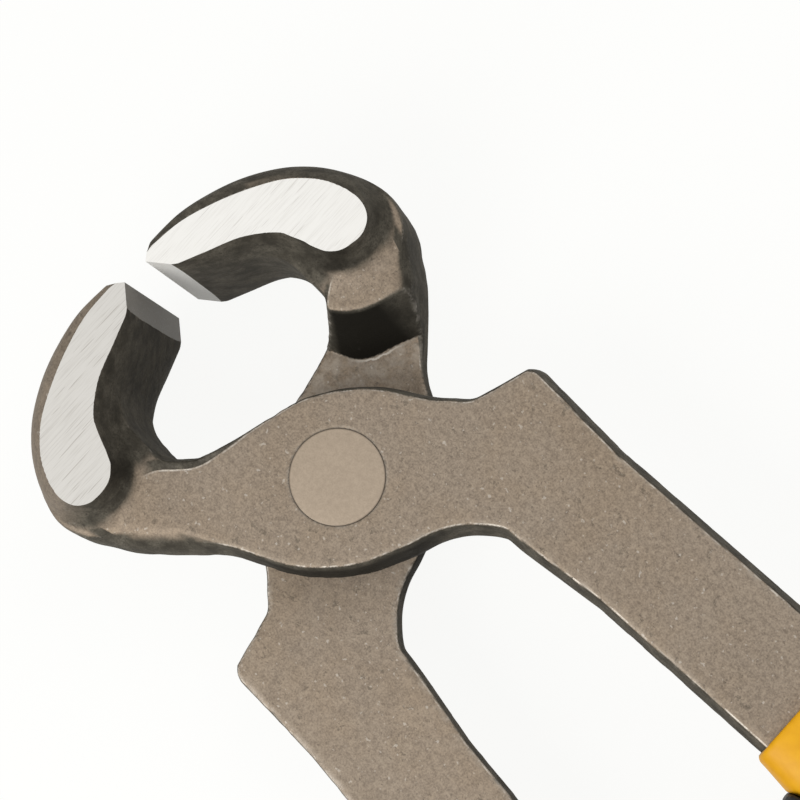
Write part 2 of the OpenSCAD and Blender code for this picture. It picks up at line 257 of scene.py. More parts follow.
@dataclass
class Lattice:
    """Sample points on crossing lines, which stand closer together in places."""

    xs: Array
    ys: Array
    zs: Array

    @staticmethod
    def line(*parts: Triple) -> Array:
        """Places along one axis, from parts that each give a start, an end and a step."""
        places = [np.linspace(a, b, max(2, int(round((b - a) / step)) + 1))[:-1]
                  for a, b, step in parts]
        return np.concatenate(places + [[parts[-1][1]]])

    def samples(self) -> List[Array]:
        """Coordinates of all samples, one array per axis."""
        return np.meshgrid(self.xs, self.ys, self.zs, indexing="ij")

    def nothing(self) -> Array:
        """Field with no solid in it."""
        return np.full((len(self.xs), len(self.ys), len(self.zs)), OUTSIDE)

    def skin(self, values: Array) -> Tuple[Array, Array]:
        """Closed skin where a field changes sign.

        Args:
            values: Field on the lattice, negative inside, positive all round its rim.

        Returns:
            The skin's points and its four-sided faces.
        """
        inside = values < 0
        corners = sum(inside[i:i + inside.shape[0] - 1, j:j + inside.shape[1] - 1,
                             k:k + inside.shape[2] - 1].astype(np.int8)
                      for i in (0, 1) for j in (0, 1) for k in (0, 1))
        active = (corners > 0) & (corners < 8)
        number = np.full(active.shape, -1, np.int64)
        number[active] = np.arange(active.sum())
        total = np.zeros((int(active.sum()), 3))
        count = np.zeros(int(active.sum()))
        places = (self.xs, self.ys, self.zs)
        faces: List[Array] = []
        for axis in range(3):
            low = [slice(None)] * 3
            high = [slice(None)] * 3
            low[axis], high[axis] = slice(None, -1), slice(1, None)
            cut = np.argwhere(inside[tuple(low)] != inside[tuple(high)])
            step = np.zeros(3, int)
            step[axis] = 1
            v0 = values[tuple(cut.T)]
            v1 = values[tuple((cut + step).T)]
            point = np.stack([places[d][cut[:, d]] for d in range(3)], axis=1)
            gap = places[axis][cut[:, axis] + 1] - places[axis][cut[:, axis]]
            point[:, axis] += gap * v0 / (v0 - v1)
            second, third = (axis + 1) % 3, (axis + 2) % 3
            ring = []
            for a, b in ((-1, -1), (0, -1), (0, 0), (-1, 0)):
                cell = cut.copy()
                cell[:, second] += a
                cell[:, third] += b
                ring.append(number[tuple(cell.T)])
            ring = np.stack(ring, axis=1)
            for corner in range(4):
                np.add.at(total, ring[:, corner], point)
                np.add.at(count, ring[:, corner], 1)
            ring[v0 > 0] = ring[v0 > 0][:, ::-1]
            faces.append(ring)
        return total / count[:, None], np.concatenate(faces)


def linked(name: str, data: bpy.types.ID) -> Piece:
    """New object in the scene."""
    made = bpy.data.objects.new(name, data)
    bpy.context.scene.collection.objects.link(made)
    return made


def mesh_object(name: str, points: Array, faces: Sequence, smooth: bool = True) -> Piece:
    """Object with a mesh made from points in millimetres.

    Args:
        name: Name of the piece.
        points: Corner points, in millimetres.
        faces: Faces as places in the points.
        smooth: Whether its faces are shaded smooth.

    Returns:
        The object, linked to the scene.
    """
    mesh = bpy.data.meshes.new(name)
    rows = faces.tolist() if isinstance(faces, np.ndarray) else faces
    mesh.from_pydata((np.asarray(points) * MM).tolist(), [], rows)
    mesh.polygons.foreach_set("use_smooth", [smooth] * len(mesh.polygons))
    mesh.update()
    return linked(name, mesh)


def store(piece: Piece, name: str, values: Array) -> None:
    """Keeps one number per vertex on a piece, for its material to read."""
    layer = piece.data.attributes.new(name, "FLOAT", "POINT")
    layer.data.foreach_set("value", np.asarray(values, np.float32))


def vectors(items: Sequence, key: str) -> Array:
    """Vectors of a mesh's items.

    Args:
        items: The mesh's vertices or vertex normals.
        key: What is read from each of them.

    Returns:
        One row per item.
    """
    values = np.empty(len(items) * 3, np.float32)
    items.foreach_get(key, values)
    return values.reshape(-1, 3).astype(float)


def move_points(piece: Piece, points: Array) -> None:
    """Takes a piece's points to new places, in millimetres."""
    piece.data.vertices.foreach_set("co", (points * MM).ravel())
    piece.data.update()


# ---- materials -----------------------------------------------------------------------------

def srgb(red: float, green: float, blue: float) -> Colour:
    """Scene colour of a display colour.

    Args:
        red: Red from 0 to 255.
        green: Green from 0 to 255.
        blue: Blue from 0 to 255.

    Returns:
        The colour, with its opacity.
    """
    def line(c: float) -> float:
        """One channel, from display to scene."""
        c /= 255
        return c / 12.92 if c <= 0.04045 else ((c + 0.055) / 1.055) ** 2.4
    return line(red), line(green), line(blue), 1.0


class Graph:
    """Short way to place and join the nodes of one material or node group."""

    def __init__(self, tree: Tree) -> None:
        """Starts on an empty tree."""
        self.tree = tree
        self.tree.nodes.clear()

    def add(self, kind: str, inputs: Dict = None, **settings: Value) -> bpy.types.Node:
        """Places a node.

        Args:
            kind: The node's type.
            inputs: Values or output sockets for its inputs, by name or place.
            **settings: The node's own properties.

        Returns:
            The node.
        """
        node = self.tree.nodes.new(kind)
        for key, value in settings.items():
            setattr(node, key, value)
        for key, value in (inputs or {}).items():
            if isinstance(value, bpy.types.NodeSocket):
                self.tree.links.new(value, node.inputs[key])
            else:
                node.inputs[key].default_value = value
        return node

    def mix(self, factor: Value, a: Value, b: Value) -> Value:
        """Colour between two others."""
        return self.add("ShaderNodeMix", {0: factor, 6: a, 7: b}, data_type="RGBA").outputs[2]

    def math(self, operation: str, *terms: Value) -> Value:
        """Result of one sum on numbers."""
        return self.add("ShaderNodeMath", dict(enumerate(terms)), operation=operation).outputs[0]

    def times(self, number: Value, *factors: Value) -> Value:
        """Product of two or more numbers."""
        for factor in factors:
            number = self.math("MULTIPLY", number, factor)
        return number

    def plus(self, number: Value, factor: Value, base: Value) -> Value:
        """A number times a factor, added to a base."""
        return self.math("MULTIPLY_ADD", number, factor, base)

    def vector(self, operation: str, a: Value, b: Value) -> Value:
        """Result of one sum on vectors."""
        place = "Scale" if operation == "SCALE" else 1
        node = self.add("ShaderNodeVectorMath", {0: a, place: b}, operation=operation)
        return node.outputs["Value" if operation == "DOT_PRODUCT" else 0]

    def ramp(self, value: Value, low: Value, high: Value, start: float = 0.0,
             end: float = 1.0) -> Value:
        """Number carried over smoothly from one range to another."""
        return self.add("ShaderNodeMapRange", {0: value, 1: low, 2: high, 3: start, 4: end},
                        interpolation_type="SMOOTHSTEP").outputs[0]

    def spot(self, scale: float, detail: float = 2.0, rough: float = 0.5,
             where: Value = None) -> Value:
        """Noise on the piece's own coordinates, from 0 to 1."""
        where = where or self.add("ShaderNodeTexCoord").outputs["Object"]
        return self.add("ShaderNodeTexNoise", {"Vector": where, "Scale": scale, "Detail": detail,
                                               "Roughness": rough}).outputs[0]

    def mask(self, name: str) -> Value:
        """Number kept on the piece's vertices."""
        return self.add("ShaderNodeAttribute", attribute_name=name).outputs["Fac"]

    def relief(self, height: Value, strength: float, depth: float) -> Value:
        """Normal of a skin with a fine relief."""
        return self.add("ShaderNodeBump", {"Strength": strength, "Distance": depth,
                                           "Height": height}).outputs[0]

    def surface(self, inputs: Dict[str, Value]) -> None:
        """Principled shader with these inputs, as the material's surface."""
        shader = self.add("ShaderNodeBsdfPrincipled", inputs)
        self.add("ShaderNodeOutputMaterial", {"Surface": shader.outputs[0]})


def group(kind: str, name: str, inputs: Dict[str, str], outputs: Dict[str, str]) -> Tuple:
    """New node group with named sockets.

    Args:
        kind: Type of its tree.
        name: Name of the group.
        inputs: Input names with their kinds.
        outputs: Output names with their kinds.

    Returns:
        The group's graph, the sockets of its inputs, and each input's identifier by its name.
    """
    graph = Graph(bpy.data.node_groups.new(name, kind))
    keys = {}
    for way, sockets in (("OUTPUT", outputs), ("INPUT", inputs)):
        for key, socket in sockets.items():
            keys[key] = graph.tree.interface.new_socket(
                name=key, in_out=way, socket_type=f"NodeSocket{socket}").identifier
    return graph, graph.add("NodeGroupInput").outputs, keys


def blasted_grain() -> Tree:
    """Group for the fine pitted grain of a blasted surface.

    Returns:
        The group, with its inputs Size and Pits, and its outputs Shade and Height.
    """
    g, given, _ = group("ShaderNodeTree", "blasted_grain", {"Size": "Float", "Pits": "Float"},
                        {"Shade": "Float", "Height": "Float"})
    where = g.vector("SCALE", g.add("ShaderNodeTexCoord").outputs["Object"], given["Size"])
    fine, coarse, cloud, pits = (g.spot(scale, 2, rough, where) for scale, rough in (
        (4300, 0.6), (1500, 0.5), (120, 0.5), (2300, 0.5)))
    pits = g.times(g.ramp(pits, 0.62, 0.76), given["Pits"])
    shade = g.plus(cloud, 0.08, g.plus(fine, 0.55, g.times(coarse, 0.37)))
    height = g.plus(coarse, 0.6, g.times(fine, 0.4))
    g.add("NodeGroupOutput", {"Shade": g.math("SUBTRACT", shade, pits),
                              "Height": g.math("SUBTRACT", height, pits)})
    return g.tree


def new_material(name: str) -> Tuple[Material, Graph]:
    """Empty material of a finish, with its graph."""
    material = bpy.data.materials.new(name)
    material.use_nodes = True
    return material, Graph(material.node_tree)


@dataclass(frozen=True)
class ForgedSteel:
    """Blasted drop-forged steel: grey-brown flats, dark walls. Scales are per metre."""

    flat_light: Colour = srgb(167, 152, 134)
    flat_dark: Colour = srgb(126, 113, 99)
    warm_light: Colour = srgb(166, 146, 122)
    warm_dark: Colour = srgb(127, 111, 92)
    wall_light: Colour = srgb(114, 108, 96)
    wall_dark: Colour = srgb(58, 54, 46)
    # Painted shade: near-black laid into the creases round the step, the jaw's root and the joint
    soot: Colour = srgb(24, 21, 14)
    # Bare metal of worn edges and of the burr, also painted highlights: glints and the line just
    # inside the flat face's rim
    bare: Colour = srgb(210, 202, 190)
    warm_scale: float = 70
    blotch_scale: float = 420
    dent_scale: float = 760
    glint_scale: float = 1700
    burr_scale: float = 900
    brink_scale: float = 620
    worn_scale: float = 700
    hammer_scale: float = 640
    hammer_height: float = 5.0

    def flats(self, g: Graph, shade: Value, dent: Value) -> Value:
        """Colour of the flat faces, with warm patches, dents and glints.

        Args:
            g: The material's graph.
            shade: The grain's shade.
            dent: Where the dents are.

        Returns:
            The colour.
        """
        colour = g.mix(shade, self.flat_dark, self.flat_light)
        warm = g.ramp(g.spot(self.warm_scale, 4, 0.65), 0.40, 0.66, 0, 0.40)
        colour = g.mix(warm, colour, g.mix(shade, self.warm_dark, self.warm_light))
        colour = g.mix(g.times(dent, 0.42), colour, self.wall_dark)
        return g.mix(g.ramp(g.spot(self.glint_scale), 0.66, 0.74, 0, 0.45), colour, self.bare)

    def burr(self, g: Graph) -> Value:
        """Mask of the ragged bright line along the step's foot.

        Args:
            g: The material's graph.

        Returns:
            The mask.
        """
        ragged = g.spot(self.burr_scale, 3, 0.6)
        foot = g.plus(ragged, 0.9, g.math("SUBTRACT", g.mask("foot"), 0.15))
        line = g.ramp(g.math("ABSOLUTE", foot), 0.05, 0.17, 1, 0)
        return g.times(line, g.ramp(ragged, 0.30, 0.45), g.mask("burr"))

    def worn(self, g: Graph, rim: Value) -> Value:
        """Mask of bared metal on worn outer edges, of rubbed lap faces lightened as painted light,
        and of a painted highlight line just inside the rim.

        Args:
            g: The material's graph.
            rim: Distance from the flat face's rim.

        Returns:
            The mask.
        """
        # Painted highlight: a bright ragged line just inside the flat face's rim
        brink = g.ramp(g.math("ABSOLUTE", g.math("ADD", rim, 0.20)), 0.03, 0.14, 1, 0)
        brink = g.times(brink, g.ramp(g.spot(self.brink_scale, 4, 0.7), 0.40, 0.62, 0, 0.75))
        brink = g.times(g.mask("brim"), g.mask("level"), brink)
        patchy = g.ramp(g.spot(self.worn_scale, 3, 0.6), 0.34, 0.66, 0, 0.7)
        return g.math("MAXIMUM", g.times(g.mask("edge"), patchy), brink)

    def build(self, grain: Tree) -> Material:
        """Material of the forging's own skin.

        Args:
            grain: The shared grain group.

        Returns:
            The material.
        """
        material, g = new_material("blasted_forging")
        skin = g.add("ShaderNodeGroup", {"Size": 1.0, "Pits": 0.22}, node_tree=grain).outputs
        shade = g.ramp(skin["Shade"], 0.28, 0.72)
        dent = g.ramp(g.spot(self.dent_scale, 4, 0.7), 0.60, 0.70)
        blotch = g.ramp(g.spot(self.blotch_scale, 4, 0.6), 0.22, 0.80)
        wall = g.mix(g.times(blotch, g.ramp(shade, -0.4, 1.0)), self.wall_dark, self.wall_light)
        rim = g.mask("rim")
        crisp = g.times(g.ramp(rim, -0.16, -0.05), g.mask("brim"))
        steep = g.math("MAXIMUM", g.mask("wall"), crisp)
        colour = g.mix(steep, self.flats(g, shade, dent), wall)
        # Painted shade in the creases round the step, at the jaw's root and along the joint's
        # walls
        colour = g.mix(g.mask("soot"), colour, self.soot)
        colour = g.mix(self.burr(g), colour, self.bare)
        # Bare metal from wear, with a painted highlight along the rim and painted light on the lap
        # faces
        worn = self.worn(g, rim)
        rough = g.plus(worn, -0.18, g.plus(steep, 0.26, g.plus(shade, 0.10, 0.54)))
        hammer = g.times(g.spot(self.hammer_scale, 4, 0.6), steep)
        height = g.plus(dent, -0.5, g.plus(hammer, self.hammer_height, skin["Height"]))
        g.surface({"Base Color": g.mix(worn, colour, self.bare), "Roughness": rough,
                   "Metallic": g.ramp(steep, 0, 1, 0.35, 0.08), "Specular IOR Level": 0.22,
                   "Normal": g.relief(height, 0.55, 0.00006)})
        return material


@dataclass(frozen=True)
class GroundSteel:
    """Bright steel with the fine straight scratches of a grinding wheel."""

    name: str = "ground_cheek"
    light: Colour = srgb(240, 238, 233)
    dark: Colour = srgb(216, 213, 207)
    # Painted shade: the duller grey that the front lever's ground faces take
    worn: Colour = srgb(170, 165, 157)
    turn: float = 87.0
    stretch: Triple = (0.035, 1.0, 1.0)

    def build(self) -> Material:
        """Material of a ground face, with its scratches turned on the piece's X and Y.

        Returns:
            The material.
        """
        material, g = new_material(self.name)
        turned = g.add("ShaderNodeMapping", {
            "Vector": g.add("ShaderNodeTexCoord").outputs["Object"],
            "Rotation": (0, 0, math.radians(self.turn))}).outputs[0]
        long = g.vector("MULTIPLY", turned, self.stretch)
        fine, broad, deep = (g.spot(scale, detail, 0.5, long) for scale, detail in (
            (9000, 2), (4200, 2), (5200, 1)))
        shade = g.plus(fine, 0.6, g.times(broad, 0.4))
        mark = g.plus(g.spot(170), 0.25, g.ramp(shade, 0.30, 0.62, 0.45, 1.0))
        mark = g.math("SUBTRACT", mark, g.ramp(deep, 0.66, 0.72, 0, 0.75))
        # Painted shade on the front lever's ground faces, duller and greyer than the rear's
        dull = g.times(g.mask("dull"), g.ramp(mark, 0, 1, 1.0, 0.55))
        g.surface({"Base Color": g.mix(dull, g.mix(mark, self.dark, self.light), self.worn),
                   "Roughness": g.ramp(shade, 0.3, 0.7, 0.52, 0.64),
                   "Metallic": 0.10, "Specular IOR Level": 0.30,
                   "Normal": g.relief(shade, 0.25, 0.00002)})
        return material


@dataclass(frozen=True)
class RivetSteel:
    """Satin rivet metal, ground flush."""

    light: Colour = srgb(178, 161, 141)
    dark: Colour = srgb(161, 145, 126)
    rim: Colour = srgb(70, 61, 50)

    def build(self, grain: Tree) -> Material:
        """Material of the rivet.

        Args:
            grain: The shared grain group.

        Returns:
            The material.
        """
        material, g = new_material("flush_rivet")
        skin = g.add("ShaderNodeGroup", {"Size": 1.25, "Pits": 0.1}, node_tree=grain).outputs
        shade = g.ramp(skin["Shade"], 0.25, 0.75)
        colour = g.mix(g.mask("rim"), g.mix(shade, self.dark, self.light), self.rim)
        g.surface({"Base Color": colour, "Roughness": g.ramp(shade, 0, 1, 0.48, 0.56),
                   "Metallic": 0.3, "Normal": g.relief(skin["Height"], 0.22, 0.00004)})
        return material


@dataclass(frozen=True)
class MouldedPlastic:
    """Smooth moulded plastic with a faint orange-peel skin."""

    name: str
    light: Colour
    dark: Colour
    roughness: float
    grain_scale: float
    grain_depth: float

    def build(self) -> Material:
        """Material of a moulded piece.

        Returns:
            The material.
        """
        material, g = new_material(self.name)
        peel, cloud = g.spot(self.grain_scale, 3, 0.55), g.spot(60, 3, 0.6)
        shade = g.ramp(g.plus(peel, 0.5, g.times(cloud, 0.5)), 0.3, 0.7)
        g.surface({"Base Color": g.mix(shade, self.dark, self.light),
                   "Roughness": g.ramp(cloud, 0.3, 0.7, self.roughness - 0.05,
                                       self.roughness + 0.06),
                   "Specular IOR Level": 0.35, "Normal": g.relief(peel, 0.3, self.grain_depth)})
        return material


@dataclass
class Finishes:
    """Every finish of the tool, built once."""

    forging: Material
    ground: Material
    dark_edge: Material
    rivet: Material
    yellow: Material
    black: Material

    @classmethod
    def build(cls) -> "Finishes":
        """Builds the shared group and all materials.

        Returns:
            The finishes.
        """
        grain = blasted_grain()
        return cls(
            forging=ForgedSteel().build(grain),
            ground=GroundSteel().build(),
            # A darker copy of the ground finish, as painted shade on the front lever's inner edge
            # face
            dark_edge=GroundSteel("dark_edge", srgb(86, 81, 73), srgb(60, 56, 49)).build(),
            rivet=RivetSteel().build(grain),
            yellow=MouldedPlastic("yellow_sleeve", srgb(231, 169, 12), srgb(221, 157, 8),
                                  0.50, 900, 0.00003).build(),
            black=MouldedPlastic("black_overmould", srgb(40, 40, 42), srgb(26, 26, 28),
                                 0.62, 2200, 0.00006).build())


# ---- the tool ------------------------------------------------------------------------------

@dataclass
class Lever:
    """One drop-forged lever: jaw, half lap and handle bar. Sizes are in millimetres.

    The draft is in degrees. Each of the dents has a depth and a wavelength, and the two faces
    are the outward normals of the cutting edge's ground faces.
    """

    jaw_reach: float = 30.9
    jaw_spread: float = 24.8
    cheek_height: float = 12.0
    rest_gap: float = 3.2
    shut_gap: float = 0.3
    joint_radius: float = 10.0
    lap: float = 7.0
    lap_gap: float = 0.1
    lap_round: float = 0.3
    shank_radius: float = 4.5
    head_radius: float = 5.325
    head_depth: float = 1.6
    run_gap: float = 0.05
    bar_out: float = 22.9
    bar_width: float = 12.9
    bar_end_width: float = 9.0
    bar_reach: float = 156.0
    bar_slope: float = 0.02
    shoulder_back: float = 7.6
    grip_front: float = 52.0
    draft: float = 10.0
    parting_share: float = 0.36
    edge_round: float = 0.45
    root_round: float = 1.9
    blend: float = 2.2
    bevel: float = 0.75
    spare: float = 0.9
    edge_start: float = 25.5
    inner_face: Triple = (-0.655, -0.756, 0)
    outer_face: Triple = (0.736, -0.677, 0)
    # Share of painted shade on the front lever's ground faces
    dullness: float = 0.85
    overrun: Span = (0.2, -1.3)
    dents: Tuple[Span, ...] = ((0.035, 6.0), (0.03, 1.8))
    inset: float = 0.004
    _skin: Tuple = field(default=None, repr=False)

    @property
    def rest_turn(self) -> float:
        """Turn of each lever from shut to rest, in radians."""
        return math.asin((self.rest_gap - self.shut_gap) / 2 / self.jaw_reach)

    @property
    def edge(self) -> Array:
        """Place of the cutting edge."""
        return np.array([self.jaw_reach, self.shut_gap / 2])

    def at_rest(self, side: Side, points: Array) -> Array:
        """Takes points of a lever or grip from its own place, with the jaws shut, to rest.

        Args:
            side: Which lever it is.
            points: The points.

        Returns:
            The points at rest.
        """
        c, s = math.cos(self.rest_turn), math.sin(self.rest_turn)
        x, y, z = points.T
        x, y = x * c - y * s, x * s + y * c
        if side is Side.REAR:
            y, z = -y, -z
        return np.stack([x, y, z + self.lap], axis=1)

    def bar_middle(self, back: float) -> float:
        """Distance of the bar's centre line from the long axis."""
        return self.bar_out - self.bar_width / 2 + self.bar_slope * (back - self.grip_front)

    def bar_edge(self, side: int, places: Sequence[float]) -> Array:
        """One edge of the bar.

        Args:
            side: 1 for the outer edge, -1 for the inner one.
            places: Distances behind the joint.

        Returns:
            The edge's points at these places.
        """
        rows = []
        for back in places:
            taper = max(0.0, back - self.grip_front) / (self.bar_reach - self.grip_front)
            half = (self.bar_width + (self.bar_end_width - self.bar_width) * taper) / 2
            rows.append([-back, -self.bar_middle(back) - side * half])
        return np.array(rows)

    def stand_out(self, z: Array) -> Array:
        """How far the drafted wall stands out past the flat face.

        Args:
            z: Heights above the lap plane.

        Returns:
            The distance at each height.
        """
        parting = self.lap * self.parting_share
        lean = math.tan(math.radians(self.draft))
        widest = lean * (self.lap - parting)
        return np.where(z > parting, lean * (self.lap - z),
                        widest * (z + self.lap) / (self.lap + parting))

    def face_outline(self) -> Array:
        """Outline of the lever's flat face.

        Returns:
            Its corner points, anticlockwise.
        """
        r = self.joint_radius
        corner = np.array([-self.shoulder_back, -self.bar_out])
        nick = 0.06 * r
        front = np.concatenate([[corner + (0.5 * nick, nick)], corner + SHOULDER_SHARES * r,
                                BROW_SHARES * r, HOLLOW_SHARES * r])
        neck = self.bar_edge(-1, [2 * r]) + (0, 0.09 * r)
        back = np.concatenate([CHEEKBONE_SHARES * r, neck, self.bar_edge(-1, [3 * r])])
        return np.concatenate([
            glide(front), JAW_CORE_SHARES * (self.jaw_reach, self.jaw_spread), glide(back),
            self.bar_edge(-1, [self.grip_front, self.bar_reach]),
            self.bar_edge(1, [self.bar_reach, self.grip_front, 2 * r]),
            [corner - (1.5 * nick, 0), corner + (-0.5 * nick, 0.25 * nick)]])

    @staticmethod
    def root_share(x: Array, y: Array) -> Array:
        """How far each place belongs to the jaw's root, where edges are rounder."""
        return fade(x, 3, 7) * fade(y, 13.5, 16.5)

    def blank_field(self, samples: Sequence[Array]) -> Array:
        """Field of the forging's joint, shoulder and bar, before the lap is cut.

        Args:
            samples: The lattice's coordinates.

        Returns:
            The field there.
        """
        x, y, z = samples
        flat = outline_distance(x[:, :, 0], y[:, :, 0], self.face_outline())[:, :, None]
        wall = (flat - self.stand_out(z)) * math.cos(math.radians(self.draft))
        return round_meet(wall, np.abs(z) - self.lap,
                          self.edge_round + self.root_round * self.root_share(x, y))

    def jaw_outline(self, height: float, curves: Sequence[Array]) -> Array:
        """Outline of the jaw at one height, run out past its cutting edge.

        Args:
            height: Height above the lap plane.
            curves: Outlines of the cheek and the waist, and their points' root and bevel shares.

        Returns:
            The outline's corner points.
        """
        cheek, waist, root, bevel = curves
        share = min(abs(height) / self.cheek_height, 1.0)
        back = 1 - share ** 4
        fillet_height = self.cheek_height - self.lap + self.lap / 50
        u = min(1.0, (self.cheek_height * (1 - share)) / fillet_height)
        fillet = 1 - math.sqrt(1 - u * u)
        mix = back + (fillet - back) * root
        points = cheek + (waist - cheek) * mix[:, None]
        along = np.gradient(points, axis=0)
        outward = np.stack([along[:, 1], -along[:, 0]], axis=1)
        outward /= np.linalg.norm(outward, axis=1, keepdims=True)
        inset = np.maximum(0, abs(height) - (self.cheek_height - self.bevel)) * bevel * 0.8
        points = points - outward * inset[:, None]
        return np.concatenate([[self.edge + self.overrun], points])

    def jaw_field(self, grid: Lattice) -> Array:
        """Field of the jaw, from its outline at each height.

        Args:
            grid: The lever's lattice.

        Returns:
            The field there.
        """
        size = (self.jaw_reach, self.jaw_spread)
        curves = [glide(shares * size) for shares in (CHEEK_SHARES, WAIST_SHARES)]
        curves += [np.clip(glide(shares[:, None])[:, 0], 0, 1)
                   for shares in (ROOT_SHARES, BEVEL_SHARES)]
        # Only this corner of the lattice is near the jaw
        near_x = np.flatnonzero(grid.xs > 11.5)
        near_y = np.flatnonzero(grid.ys > -2.5)
        x, y = np.meshgrid(grid.xs[near_x], grid.ys[near_y], indexing="ij")
        values = grid.nothing()
        cap = self.cheek_height + self.spare
        for k, height in enumerate(grid.zs):
            plan = outline_distance(x, y, self.jaw_outline(height, curves))
            values[near_x[0]:, near_y[0]:, k] = np.maximum(plan, abs(height) - cap)
        return values

    def lap_room(self, lean: float) -> Array:
        """Outline of the room for the other lever.

        Args:
            lean: Share of the way from the step's foot to its brink.

        Returns:
            The outline's corner points.
        """
        foot, brink = (glide(shares * self.joint_radius)
                       for shares in (STEP_FOOT_SHARES, STEP_BRINK_SHARES))
        far = 3 * self.bar_out
        rim = np.array([[foot[-1][0], far], [-self.bar_reach - far, far],
                        [-self.bar_reach - far, -far], [foot[0][0], -far]])
        return np.concatenate([foot + (brink - foot) * lean, rim])

    def lap_field(self, grid: Lattice) -> Array:
        """Field of the room for the other lever, behind the step and below the lap plane.

        Args:
            grid: The lever's lattice.

        Returns:
            The field there.
        """
        x, y = np.meshgrid(grid.xs, grid.ys, indexing="ij")
        plane, needed = self.lap_gap / 2, 3.0
        values = grid.nothing()
        for k, height in enumerate(grid.zs):
            if height < needed:
                plan = outline_distance(x, y, self.lap_room((plane - height) / self.lap))
                values[:, :, k] = np.maximum(plan, height - plane)
        return values

    def skin(self) -> Tuple[Array, Array]:
        """The lever's skin in its own place, before its faces are ground.

        Returns:
            The skin's points and faces.
        """
        grid = Lattice(
            Lattice.line((-158, -58, 2.5), (-58, -9, 0.42), (-9, 8, 0.24), (8, 34.8, 0.30)),
            Lattice.line((-33.5, -8, 0.42), (-8, 8, 0.26), (8, 26.5, 0.30)),
            Lattice.line((-13.43, -7.63, 0.34), (-7.63, -6.13, 0.2), (-6.13, -0.55, 0.45),
                         (-0.55, 0.62, 0.19), (0.62, 5.87, 0.4), (5.87, 7.55, 0.17),
                         (7.55, 13.37, 0.34)))
        x, y, z = samples = grid.samples()
        body = soft_join(self.blank_field(samples), self.jaw_field(grid), self.blend)
        body = round_meet(body, -self.lap_field(grid), self.lap_round)
        sink = np.clip((z - self.lap + self.head_depth) / self.head_depth, 0, 1)
        hole = self.shank_radius + self.run_gap + (self.head_radius - self.shank_radius) * sink
        return grid.skin(np.maximum(body, hole - np.hypot(x, y)))

    def dent(self, piece: Piece, points: Array, seed: int) -> None:
        """Gives the fresh skin the uneven surface that forging leaves.

        Args:
            piece: The lever, in its own place.
            points: Its points.
            seed: Seed of the unevenness.
        """
        normals = vectors(piece.data.vertex_normals, "vector")
        rough = sum(depth * wave_noise(points, length, seed + k)
                    for k, (depth, length) in enumerate(self.dents))
        free = fade(np.hypot(points[:, 0], points[:, 1]), 6.5, 8.5) * fade(points[:, 0], 25, 21)
        away = rough * (0.12 + 0.88 * steepness(normals, 0.80, 0.97)) * free
        move_points(piece, points + normals * (np.minimum(away, 0.0) - self.inset)[:, None])

    def ground_faces(self, piece: Piece, inner: int) -> None:
        """Grinds the cheeks and the cutting edge's two faces, and makes their edges sharp.

        Args:
            piece: The lever, in its own place.
            inner: Place of the inner edge face's finish in the lever's materials.
        """
        bm = bmesh.new()
        bm.from_mesh(piece.data)
        edge = (*self.edge, 0)
        cuts = [(edge, self.inner_face, self.edge_start, inner),
                (edge, self.outer_face, self.edge_start, 1),
                ((0, 0, self.cheek_height), (0, 0, 1), -self.bar_reach * 2, 1),
                ((0, 0, -self.cheek_height), (0, 0, -1), -self.bar_reach * 2, 1)]
        for place, normal, start, finish in cuts:
            # A dict keeps the order of the points, so that each run gives the same mesh.
            near = dict.fromkeys(v for v in bm.verts if v.co.x > start * MM)
            geom = list(near) + [e for e in bm.edges if all(v in near for v in e.verts)] \
                + [f for f in bm.faces if all(v in near for v in f.verts)]
            made = bmesh.ops.bisect_plane(bm, geom=geom, dist=1e-7, plane_co=Vector(place) * MM,
                                          plane_no=Vector(normal).normalized(), clear_outer=True)
            rim = [e for e in made["geom_cut"] if isinstance(e, bmesh.types.BMEdge)]
            face = bmesh.ops.holes_fill(bm, edges=[e for e in rim if e.is_boundary],
                                        sides=0)["faces"]
            for f in face:
                f.material_index = finish
                f.smooth = True
                for e in f.edges:
                    e.smooth = False
        bmesh.ops.triangulate(bm, faces=[f for f in bm.faces if len(f.verts) > 4])
        bm.to_mesh(piece.data)
        bm.free()

    def build(self, side: Side, finishes: Finishes, seed: int) -> Piece:
        """One finished lever at its place at rest.

        Args:
            side: Which lever it is.
            finishes: The tool's finishes.
            seed: Seed of its dents.

        Returns:
            The lever.
        """
        if self._skin is None:
            self._skin = self.skin()
        points, faces = self._skin
        piece = mesh_object(f"{side.value}_lever_forging", points, faces)
        self.dent(piece, points, seed)
        # The front lever's inner edge face takes the painted shade copy of the ground finish
        self.ground_faces(piece, 2 if side is Side.FRONT else 1)
        points = vectors(piece.data.vertices, "co") / MM
        normals = vectors(piece.data.vertex_normals, "vector")
        wall = np.maximum(steepness(normals, 0.72, 0.94),
                          fade(points[:, 0], 16.2, 17.4) * fade(points[:, 1], 14.8, 13.6))
        masks = self.wear(points, normals, wall, self.corners(piece, points, normals))
        # Painted shade round the step, the jaw's root and the joint, and the burr
        masks.update(self.dirt(points, normals, wall))
        # Painted shade: only the front lever's ground faces are dimmed
        masks["dull"] = np.full(len(points), self.dullness if side is Side.FRONT else 0.0)
        for name, values in masks.items():
            store(piece, name, values)
        move_points(piece, self.at_rest(side, points))
        for finish in (finishes.forging, finishes.ground, finishes.dark_edge):
            piece.data.materials.append(finish)
        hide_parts(f"{side.value}_lever")
        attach(piece, side.body)
        return piece

